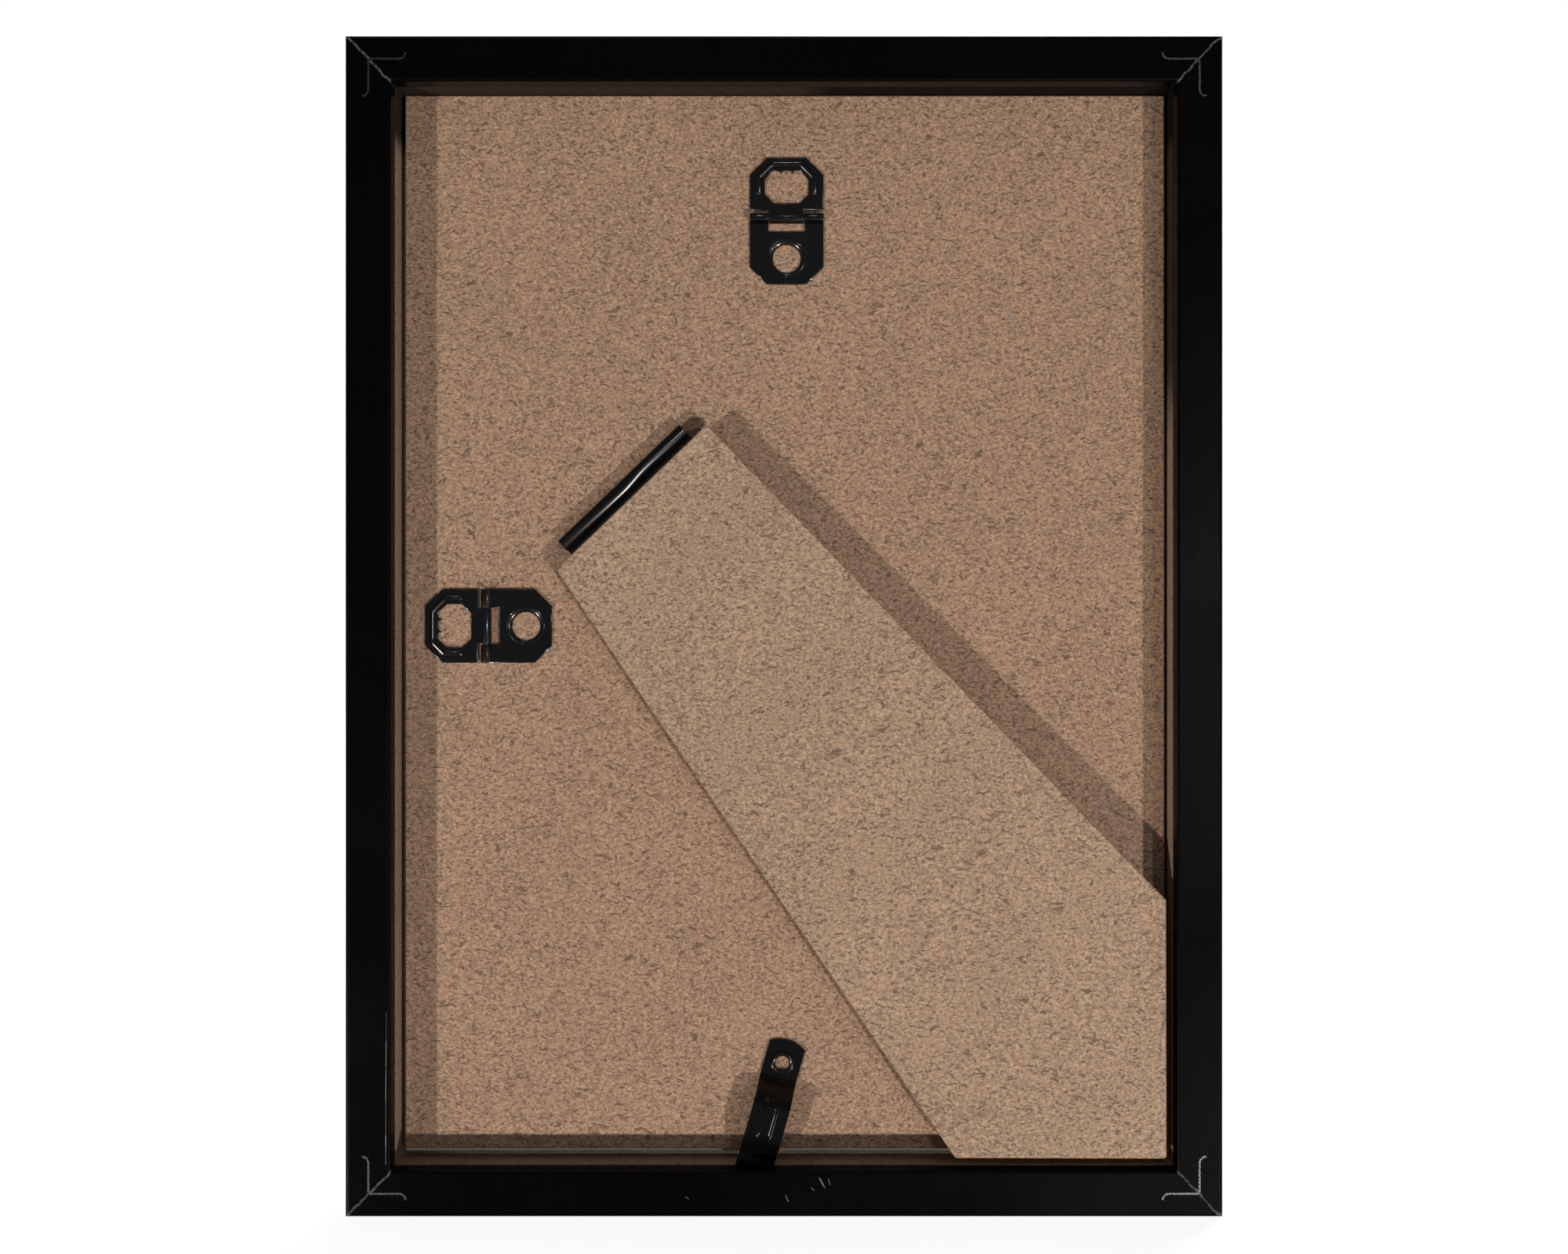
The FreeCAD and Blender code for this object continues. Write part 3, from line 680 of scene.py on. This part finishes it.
def nail_tree(material):
    """Geometry nodes that set one V-nail at each point, turned by the point's turn."""
    tree = bpy.data.node_groups.new("V-nails", "GeometryNodeTree")
    tree.interface.new_socket("Corners", in_out="INPUT", socket_type="NodeSocketGeometry")
    for label in ("Arm", "Curl", "Sheet", "Drive"):
        tree.interface.new_socket(label, in_out="INPUT", socket_type="NodeSocketFloat")
    tree.interface.new_socket("Nails", in_out="OUTPUT", socket_type="NodeSocketGeometry")
    given, out = put(tree, "NodeGroupInput"), put(tree, "NodeGroupOutput")
    arm, curl = given.outputs["Arm"], given.outputs["Curl"]
    end = sums(tree, "ADD", arm, curl)
    back = times(tree, curl, -1.0)
    corners = [(end, back), (end, 0.0), (0.0, 0.0), (0.0, end), (back, end)]
    line = put(tree, "GeometryNodeMeshLine", {"Count": len(corners)})
    pick = put(tree, "GeometryNodeIndexSwitch", data_type="VECTOR")
    while len(pick.index_switch_items) < len(corners):
        pick.index_switch_items.new()
    feed(tree, pick, {"Index": put(tree, "GeometryNodeInputIndex")})
    for number, (x, y) in enumerate(corners, 1):
        feed(tree, pick, {number: put(tree, "ShaderNodeCombineXYZ", {"X": x, "Y": y})})
    placed = put(tree, "GeometryNodeSetPosition", {"Geometry": line, "Position": pick})
    curve = put(tree, "GeometryNodeMeshToCurve", {"Mesh": placed})
    middle = put(tree, "FunctionNodeCompare", {
        2: put(tree, "GeometryNodeInputIndex"), 3: 2}, data_type="INT", operation="EQUAL")
    radius = put(tree, "GeometryNodeSwitch", {
        "Switch": middle, "False": curl, "True": times(tree, curl, 0.45)}, input_type="FLOAT")
    bend = put(tree, "GeometryNodeFilletCurve", {"Curve": curve, "Count": 6, "Radius": radius}, mode="POLY")
    upright = put(tree, "GeometryNodeSetCurveNormal", {"Curve": bend}, mode="Z_UP")
    section = put(tree, "GeometryNodeCurvePrimitiveQuadrilateral", {
        "Width": given.outputs["Sheet"], "Height": given.outputs["Drive"]})
    swept = put(tree, "GeometryNodeCurveToMesh", {
        "Curve": upright, "Profile Curve": section, "Fill Caps": True})
    sunk = put(tree, "ShaderNodeCombineXYZ", {"Z": times(tree, given.outputs["Drive"], -0.5)})
    lowered = put(tree, "GeometryNodeTransform", {"Geometry": swept, "Translation": sunk})
    turn = put(tree, "GeometryNodeInputNamedAttribute", {"Name": "turn"}, data_type="FLOAT_VECTOR")
    copies = put(tree, "GeometryNodeInstanceOnPoints", {
        "Points": given.outputs["Corners"], "Instance": lowered, "Rotation": turn})
    real = put(tree, "GeometryNodeRealizeInstances", {"Geometry": copies})
    steel = put(tree, "GeometryNodeSetMaterial", {"Geometry": real, "Material": material})
    flat = put(tree, "GeometryNodeSetShadeSmooth", {"Geometry": steel, "Shade Smooth": False})
    feed(tree, out, {"Nails": flat})
    return tree


def baked(piece):
    """Makes a piece's modifiers part of its mesh."""
    evaluated = piece.evaluated_get(bpy.context.evaluated_depsgraph_get())
    mesh = bpy.data.meshes.new_from_object(evaluated)
    piece.modifiers.clear()
    piece.data = mesh


def grown(name, mesh, tree, values):
    """The piece that a node tree makes from a starting mesh."""
    holder = bpy.data.objects.new(name, mesh)
    bpy.context.scene.collection.objects.link(holder)
    modifier = holder.modifiers.new(name, "NODES")
    modifier.node_group = tree
    for item in tree.interface.items_tree:
        if item.item_type == "SOCKET" and item.in_out == "INPUT" and item.name in values:
            modifier[item.identifier] = values[item.name]
    baked(holder)
    bpy.data.meshes.remove(mesh)
    return holder


class PHOTOFRAME_OT_nails(bpy.types.Operator):
    """Make the four V-nails in the backs of the mitres"""
    bl_idname = "photoframe.nails"
    bl_label = "V-nails"

    def execute(self, context):
        sizes, finish = settings().nails, steel_finish(settings().finishes)
        corners = bpy.data.meshes.new("corners")
        places, turns = [], []
        for side, rise, quarter in ((-1, -1, 0), (1, -1, 90), (1, 1, 180), (-1, 1, 270)):
            places.append((side * (half_width - sizes.inset), frame_low.y,
                           middle_height + rise * (half_height - sizes.inset)))
            turns += [math.pi / 2, -math.radians(quarter), 0.0]
        corners.from_pydata(places, [], [])
        corners.attributes.new("turn", "FLOAT_VECTOR", "POINT").data.foreach_set("vector", turns)
        piece = grown("v_nails", corners, nail_tree(finish), {
            "Arm": sizes.arm, "Curl": sizes.curl, "Sheet": sizes.sheet, "Drive": sizes.drive})
        if not piece.data.polygons:
            raise RuntimeError("the V-nails came out empty")
        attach(piece, "frame")
        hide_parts("v_nail_top_left", "v_nail_top_right", "v_nail_bottom_left", "v_nail_bottom_right")
        return {"FINISHED"}


class PHOTOFRAME_OT_glazing(bpy.types.Operator):
    """Finish the glass pane and the blank paper behind it"""
    bl_idname = "photoframe.glazing"
    bl_label = "Glass and paper"

    def execute(self, context):
        dress("glass_pane", glass_finish())
        dress("picture_insert", paper_finish(settings().finishes))
        return {"FINISHED"}


class PHOTOFRAME_OT_boards(bpy.types.Operator):
    """Finish the hardboard backing and the easel leg"""
    bl_idname = "photoframe.boards"
    bl_label = "Backing board and leg"

    def execute(self, context):
        look = settings().finishes
        dress("backing_board", hardboard_finish("Board hardboard", look.board_colour, (0, 0, 0), BOARD_MARKS))
        dress("easel_leg", hardboard_finish("Leg hardboard", look.leg_colour, (0.31, 0.07, 0.13)))
        return {"FINISHED"}


# Easel hinge, in millimetres and in the leaf's own axes
PRONG_PLACES = [(x, y) for x in (-9.0, 9.0) for y in (4.2, 9.4)]
PRONG_WIDTH, PRONG_DRIVE, PRONG_POINT = 2.2, 1.7, 0.7
LEAF_NEAR, LEAF_FAR = 0.6, 14.0
CRIMP_LEFT, CRIMP_RIGHT, ROLL_END = -5.1, 0.3, 14.0


def shown_hinge_finish(kink, seat):
    """Glossy enamel on the curl, whose skin turns a little where the curl was crimped."""
    material = enamel_finish("Hinge enamel")
    tree = material.node_tree
    place = next(node for node in tree.nodes if node.type == "TEX_COORD").outputs["Object"]
    flat = seat.inverted()
    local = put(tree, "ShaderNodeMapping", {
        "Vector": place, "Location": flat.translation, "Rotation": flat.to_euler()})
    axes = put(tree, "ShaderNodeSeparateXYZ", {0: local})
    across, along = axes.outputs["X"], axes.outputs["Y"]
    rise = ramped(tree, across, -ROLL_END * MM, CRIMP_LEFT * MM, -0.39, -0.57)
    fall = ramped(tree, across, CRIMP_LEFT * MM, CRIMP_RIGHT * MM, 0.0, 0.27)
    back = ramped(tree, across, CRIMP_RIGHT * MM, ROLL_END * MM, 0.0, -0.19)
    tilt = sums(tree, "ADD", sums(tree, "ADD", rise, fall), back)
    skin = next(node for node in tree.nodes if node.type == "BUMP")
    crimp = put(tree, "ShaderNodeBump", {
        "Height": times(tree, tilt, along, kink), "Distance": 1.0, "Normal": skin})
    feed(tree, tree.nodes["Principled BSDF"], {"Normal": crimp})
    return material


def prongs(sheet):
    """The four pointed prongs of a leaf."""
    half, shoulder = PRONG_WIDTH / 2, PRONG_POINT - PRONG_DRIVE
    tip = [(-half, sheet / 2), (-half, shoulder), (0, -PRONG_DRIVE), (half, shoulder), (half, sheet / 2)]
    for x, y in PRONG_PLACES:
        turn = Matrix.Translation((x, y - sheet / 2, 0)) @ Matrix.Rotation(math.pi / 2, 4, "X")
        yield sheet_mesh(tip, (), sheet, 0.03), turn


class PHOTOFRAME_OT_hinge(bpy.types.Operator):
    """Make the easel hinge's outer leaf and finish its inner one"""
    bl_idname = "photoframe.hinge"
    bl_label = "Easel hinge"

    def execute(self, context):
        sizes = in_mm(settings().hinge)
        axis = Vector(next(j for j in frame["joints"] if j["name"] == "easel_leg_hinge")["axis"]).normalized()
        place = joint_places["easel_leg_hinge"].copy()
        place.y = board_back
        heading = OUTWARDS.cross(axis)
        seat = on_board(place, heading)
        sheet, half = sizes.sheet, sizes.width / 2
        rim = boxed(-half, half, LEAF_NEAR, LEAF_FAR)
        reach = PRONG_WIDTH / 2
        windows = [boxed(x - reach, x + reach, y, y + PRONG_DRIVE) for x, y in PRONG_PLACES]
        curl = [(1.4, sheet / 2)] + arc(0, sizes.curl_radius, sizes.curl_radius - sheet / 2, 270, 67, 40)
        parts = [
            (sheet_mesh(rim, windows, sheet, 0.06, wide=True), Matrix.Translation((0, 0, sheet / 2))),
            (sheet_mesh(strip_outline(curl, sheet * 0.98), (), sizes.width, 0.1), SIDE_ON),
            *prongs(sheet),
        ]
        finish = shown_hinge_finish(settings().hinge.kink, seat)
        leaf = gathered("easel_hinge_outer_leaf", parts, seat, finish)
        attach(leaf, "frame")
        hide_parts("easel_hinge_board_leaf")
        dress("easel_hinge_leg_leaf", enamel_finish("Satin enamel"))
        return {"FINISHED"}


# Hangers, in millimetres and in their own axes: x along the pin, y away from it
PIN_HEIGHT = 0.95
PLATE_BORE, LOOP_BORE = 0.45, 0.49
PLATE_SLOT, LOOP_TONGUE = 3.12, 3.0
CORNER_CUT = 2.9
COLLAR_CENTRE = 6.65


def hanger_rim(half, slot, outer, inner, far):
    """Outline whose near edge steps from outer to inner across the slot, with two cut far corners."""
    return [(-half, outer), (-slot, outer), (-slot, inner), (slot, inner), (slot, outer), (half, outer),
            (half, far - CORNER_CUT), (half - CORNER_CUT, far), (CORNER_CUT - half, far),
            (-half, far - CORNER_CUT)]


def knuckle(inner, sheet, length_out):
    """Side outline of a leaf's end that is rolled about the pin."""
    radius = inner + sheet / 2
    line = [(length_out, PIN_HEIGHT - radius)] + arc(0, PIN_HEIGHT, radius, 270, 70, 30)
    return strip_outline(line, sheet * 0.98)


def window_outline():
    """The nail window of the loop with its three scallops."""
    half, crown, low, high, tooth, lobe = 3.7, 2.3, 2.7, 8.3, 7.65, 1.0
    outline = [(crown, high), (half, 6.8), (half, 4.3), (2.1, low), (-2.1, low), (-half, 4.3), (-half, 6.8)]
    for start, end in ((-crown, -lobe), (-lobe, lobe), (lobe, crown)):
        middle, reach = (start + end) / 2, (end - start) / 2
        first = high if start == -crown else tooth
        last = high if end == crown else tooth
        for step in range(9):
            share = step / 8
            lift = math.sin(math.pi * share) * (0.3 if reach < 0.9 else 0.7)
            outline.append((middle - reach * math.cos(math.pi * share),
                            first + (last - first) * share + lift))
    return outline


def bead_mesh(top, rise):
    """The half-round bead that arches round the window."""
    curve = bpy.data.curves.new("bead", "CURVE")
    curve.dimensions = "3D"
    curve.bevel_depth = 0.5
    curve.bevel_resolution = 5
    curve.use_fill_caps = True
    side, crown, turn, sunk = 4.75, 2.55, 0.9, 0.06
    line = rounded_path([(-side, 4.4, 0), (-side, 7.2, turn), (-crown, 9.4, turn),
                         (crown, 9.4, turn), (side, 7.2, turn), (side, 4.4, 0)])
    tapered = [((-side, 4.05), 0.1), ((-side, 4.2), 0.75), *[(point, 1.0) for point in line],
               ((side, 4.2), 0.75), ((side, 4.05), 0.1)]
    spline = curve.splines.new("POLY")
    spline.points.add(len(tapered) - 1)
    for point, ((x, y), radius) in zip(spline.points, tapered):
        point.co, point.radius = (x, y, 0, 1), radius
    flattened = Matrix.Diagonal((1, 1, (rise + sunk) / curve.bevel_depth, 1))
    mesh = from_curve(curve)
    mesh.transform(Matrix.Translation((0, 0, top - sunk)) @ flattened)
    return mesh


def collar_mesh(sheet):
    """The plate's collar, driven into the board, and the soft rim round its hole."""
    outline = [(2.28, -1.4), (2.7, -1.4), (2.7, -0.05), (3.16, 0.0), (3.16, sheet - 0.02)]
    return turned_mesh(outline + arc(3.1, -0.32, 0.82, 90, 180, 10))


class PHOTOFRAME_OT_hangers(bpy.types.Operator):
    """Make the two hinged hangers: plates on the board and loops on their pins"""
    bl_idname = "photoframe.hangers"
    bl_label = "Hinged hangers"

    def execute(self, context):
        sizes, finish = in_mm(settings().hangers), enamel_finish("Satin enamel")
        half, sheet, thin, ease = sizes.width / 2, sizes.plate_sheet, sizes.loop_sheet, sizes.ease
        places = {"top": Vector((0, 0, 1)), "side": Vector((-1, 0, 0))}
        for name, heading in places.items():
            place = joint_places[name + "_hanger_hinge"].copy()
            place.y = board_back
            dress(name + "_hanger_pin", finish)

            rim, hole = hanger_rim(half, PLATE_SLOT, 0.0, 2.15, 11.1), arc(0, COLLAR_CENTRE, 3.1, 0, 354, 59)
            parts = [
                (sheet_mesh(rim, [hole], sheet, ease, wide=True), Matrix.Translation((0, 0, sheet / 2))),
                (collar_mesh(sheet), Matrix.Translation((0, COLLAR_CENTRE, 0))),
            ]
            for side in (-1, 1):
                middle = side * (half + PLATE_SLOT) / 2
                strip = sheet_mesh(knuckle(PLATE_BORE, sheet, 0.4), (), half - PLATE_SLOT, ease)
                parts.append((strip, Matrix.Translation((middle, 0, 0)) @ SIDE_ON))
            plate = gathered(name + "_hanger_base", parts, on_board(place, -heading), finish)
            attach(plate, "frame")
            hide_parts(name + "_hanger_plate")

            low, rim = PIN_HEIGHT - LOOP_BORE - thin, hanger_rim(half, LOOP_TONGUE, 1.6, 0.2, 10.5)
            flat = sheet_mesh(rim, [window_outline()], thin, ease, wide=True)
            parts = [
                (flat, Matrix.Translation((0, 0, low + thin / 2))),
                (sheet_mesh(knuckle(LOOP_BORE, thin, 0.6), (), 2 * LOOP_TONGUE, ease), SIDE_ON),
                (bead_mesh(low + thin, sizes.bead_rise), Matrix.Identity(4)),
            ]
            loop = gathered(name + "_hanger_loop_pressing", parts, on_board(place, heading), finish)
            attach(loop, name + "_hanger")
            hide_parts(name + "_hanger_loop")
        return {"FINISHED"}


# Turn clip, in millimetres: x across the strip, y along it from its pivot
CLIP_TILT = 16.0
CLIP_SMOOTH = math.radians(50)
CLIP_COLUMNS = 24
CLIP_ROW = 0.22
RIVET_HOLE = 1.55


def clip_line():
    """Centre line of the spring strip as (length, height) from its pivot."""
    return rounded_path([(-4.2, 0.25, 0), (2.9, 0.25, 1.6), (5.9, 4.7, 3.2), (12.2, 4.9, 1.6),
                         (15.4, 3.65, 1.6), (18.3, 3.65, 0)], 10)


def resampled(line, step):
    """Points about a step apart along a line."""
    points = []
    for start, end in zip(line, line[1:]):
        a, b = Vector(start), Vector(end)
        count = max(1, round((b - a).length / step))
        points += [a.lerp(b, index / count) for index in range(count)]
    return points + [Vector(line[-1])]


def soft_step(value, low, high):
    """Zero below low, one above high and smooth between."""
    share = min(max((value - low) / (high - low), 0.0), 1.0)
    return share * share * (3 - 2 * share)


def clip_mesh(sizes):
    """The strip's skin with its pressed rib and rounded head, before it gets its thickness."""
    half, rib = sizes.width / 2, sizes.rib_width / 2
    strip = bmesh.new()
    rows = []
    points = resampled(clip_line(), CLIP_ROW)
    for index, point in enumerate(points):
        before, after = points[max(index - 1, 0)], points[min(index + 1, len(points) - 1)]
        along = (after - before).normalized()
        out = Vector((-along.y, along.x))
        if out.y < 0:
            out = -out
        run = soft_step(point.x, 5.0, 6.6) * (1 - soft_step(point.x, 11.2, 12.2))
        row = []
        for step in range(-CLIP_COLUMNS, CLIP_COLUMNS + 1):
            x = half * step / CLIP_COLUMNS
            spot = point + out * (sizes.rib_rise * run * (1 - soft_step(abs(x), rib - 0.45, rib + 0.1)))
            head = -4.05 + 0.9 * (x / half) ** 2
            row.append(strip.verts.new((x, max(spot.x, head) if point.x < 0 else spot.x, spot.y)))
        rows.append(row)
    for row, following in zip(rows, rows[1:]):
        for index in range(2 * CLIP_COLUMNS):
            strip.faces.new((row[index], row[index + 1], following[index + 1], following[index]))
    bmesh.ops.remove_doubles(strip, verts=strip.verts, dist=0.01)
    bmesh.ops.dissolve_degenerate(strip, edges=strip.edges, dist=0.005)
    return from_shape(strip, "strip")


def eyelet_mesh():
    """Tubular eyelet with a rolled flange over the strip."""
    outline = [(1.2, -2.0), (1.5, -2.0), (1.5, 0.5), (1.96, 0.5)]
    outline += arc(1.62, 0.58, 0.36, -10, 190, 14)
    return turned_mesh(outline)


class PHOTOFRAME_OT_clip(bpy.types.Operator):
    """Make the turn clip and the eyelet that it turns on"""
    bl_idname = "photoframe.clip"
    bl_label = "Turn clip"

    def execute(self, context):
        sizes, turn = in_mm(settings().clip), math.radians(CLIP_TILT)
        heading = Vector((-math.sin(turn), 0, -math.cos(turn)))
        seat = on_board(joint_places["turn_clip_pivot"], heading)
        finish = enamel_finish("Clip enamel")
        strip = gathered("turn_clip_spring", [(clip_mesh(sizes), Matrix.Identity(4))], seat, finish)
        thick = strip.modifiers.new("sheet", "SOLIDIFY")
        thick.thickness = sizes.sheet * MM
        thick.offset = 0.0
        edge = strip.modifiers.new("edge", "BEVEL")
        edge.width, edge.segments = 0.09 * MM, 3
        edge.limit_method, edge.angle_limit = "ANGLE", CLIP_SMOOTH
        drill = turned_mesh(boxed(0.0001, RIVET_HOLE, -1, 2))
        cutter = gathered("cutter", [(drill, Matrix.Identity(4))], seat, finish)
        hole = strip.modifiers.new("hole", "BOOLEAN")
        hole.object, hole.solver = cutter, "EXACT"
        baked(strip)
        bpy.data.objects.remove(cutter)
        strip.data.shade_smooth()
        strip.data.set_sharp_from_angle(angle=CLIP_SMOOTH)
        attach(strip, "clip")
        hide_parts("turn_clip")
        finish = enamel_finish("Eyelet enamel")
        ring = gathered("turn_clip_rivet", [(eyelet_mesh(), Matrix.Identity(4))], seat, finish)
        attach(ring, "frame")
        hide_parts("turn_clip_eyelet")
        return {"FINISHED"}


# Stage

# Width of the photo at the frame's back, and how far below the frame's middle it was taken, in millimetres
SHOWN_WIDTH = 261.4
CAMERA_DROP = 0.13
LAMP_DISTANCE = 0.9


def lamp(name, place, target, size, watts, tint):
    """A square area lamp aimed at a target."""
    data = bpy.data.lights.new(name, "AREA")
    data.size, data.energy, data.color = size, watts, tint
    holder = bpy.data.objects.new(name, data)
    holder.location = place
    holder.rotation_euler = (target - place).to_track_quat("-Z", "Y").to_euler()
    bpy.context.scene.collection.objects.link(holder)


class PHOTOFRAME_OT_stage(bpy.types.Operator):
    """Set the floor, lamps, surroundings and camera"""
    bl_idname = "photoframe.stage"
    bl_label = "Stage"

    def execute(self, context):
        sizes, scene = settings().stage, context.scene
        floor_mesh = bpy.data.meshes.new("floor")
        floor_mesh.from_pydata([(-4, -4, 0), (4, -4, 0), (4, 4, 0), (-4, 4, 0)], [], [(0, 1, 2, 3)])
        floor = bpy.data.objects.new("floor", floor_mesh)
        scene.collection.objects.link(floor)
        floor.visible_shadow = False
        material, tree, shader, place = new_finish("Pale floor")
        rays = put(tree, "ShaderNodeLightPath")
        distance = put(tree, "ShaderNodeVectorMath", {0: place}, operation="LENGTH")
        glow = ramped(tree, distance.outputs["Value"], 0.15, 0.9, 0.88, 1.0)
        feed(tree, shader, {
            "Base Color": rgba(sizes.floor_colour), "Roughness": 0.9, "Emission Color": (1, 1, 1, 1),
            "Emission Strength": times(tree, rays.outputs["Is Camera Ray"], glow),
        })
        floor_mesh.materials.append(material)

        world = bpy.data.worlds.new("Studio")
        scene.world = world
        world.use_nodes = True
        tree = world.node_tree
        tree.nodes.clear()
        rays = put(tree, "ShaderNodeLightPath")
        seen = sums(tree, "MAXIMUM", rays.outputs["Is Camera Ray"], rays.outputs["Is Transmission Ray"])
        bright = put(tree, "ShaderNodeMapRange", {"Value": seen, "To Min": 0.08, "To Max": 1.0})
        glow = put(tree, "ShaderNodeBackground", {"Color": (1, 1, 1, 1), "Strength": bright})
        put(tree, "ShaderNodeOutputWorld", {"Surface": glow})

        centre = Vector((0, frame_low.y, middle_height))
        for name, aim, size, watts, tint in (
            ("Left key", (-0.95, -1.0, -0.67), 0.04, sizes.key_power * 1.3, (1.0, 0.96, 0.92)),
            ("Right key", (0.67, -1.0, -0.69), 0.04, sizes.key_power, (1.0, 0.96, 0.93)),
            ("Side glint", (0.42, -0.95, 0.0), 0.04, sizes.key_power * 0.1, (1.0, 1.0, 1.0)),
            ("Top glint", (0.0, -0.78, 1.1), 0.04, sizes.key_power * 0.06, (1.0, 1.0, 1.0)),
            ("Front fill", (0.5, 1.2, 0.9), 0.9, sizes.fill_power * 6, (1.0, 1.0, 1.0)),
            ("Top fill", (-0.3, 0.2, 1.2), 0.7, sizes.fill_power, (1.0, 1.0, 1.0)),
        ):
            lamp(name, centre + Vector(aim) * LAMP_DISTANCE, centre, size, watts, tint)

        data = bpy.data.cameras.new("camera")
        data.sensor_width = 36.0
        data.lens = data.sensor_width * sizes.camera_gap / (SHOWN_WIDTH * MM)
        data.clip_start = 0.01
        camera = bpy.data.objects.new("camera", data)
        camera.location = (0, frame_low.y - sizes.camera_gap, middle_height - CAMERA_DROP * MM)
        camera.rotation_euler = (math.pi / 2, 0, 0)
        scene.collection.objects.link(camera)
        scene.camera = camera
        scene.view_settings.view_transform = "Standard"
        return {"FINISHED"}


class PHOTOFRAME_PT_panel(bpy.types.Panel):
    """The steps that finish the frame"""
    bl_label = "Photo Frame"
    bl_idname = "PHOTOFRAME_PT_panel"
    bl_space_type = "VIEW_3D"
    bl_region_type = "UI"
    bl_category = "Photo Frame"

    def draw(self, context):
        for step in STEPS:
            self.layout.operator(step.bl_idname)
        for group in vars(settings()).values():
            box = self.layout.box()
            for name in group.__annotations__:
                box.prop(group, name)


STEPS = (
    PHOTOFRAME_OT_moulding, PHOTOFRAME_OT_nails, PHOTOFRAME_OT_glazing, PHOTOFRAME_OT_boards,
    PHOTOFRAME_OT_hinge, PHOTOFRAME_OT_hangers, PHOTOFRAME_OT_clip, PHOTOFRAME_OT_stage,
)


def register():
    for group in GROUPS.values():
        bpy.utils.register_class(group)
    for name, group in GROUPS.items():
        setattr(bpy.types.Scene, "photo_frame_" + name, bpy.props.PointerProperty(type=group))
    for each in (*STEPS, PHOTOFRAME_PT_panel):
        bpy.utils.register_class(each)


def unregister():
    for each in (PHOTOFRAME_PT_panel, *STEPS[::-1]):
        bpy.utils.unregister_class(each)
    for name in GROUPS:
        delattr(bpy.types.Scene, "photo_frame_" + name)
    for group in GROUPS.values():
        bpy.utils.unregister_class(group)


def main():
    """Makes every piece."""
    register()
    for step in STEPS:
        area, verb = step.bl_idname.split(".")
        getattr(getattr(bpy.ops, area), verb)()


if __name__ == "__main__":
    main()
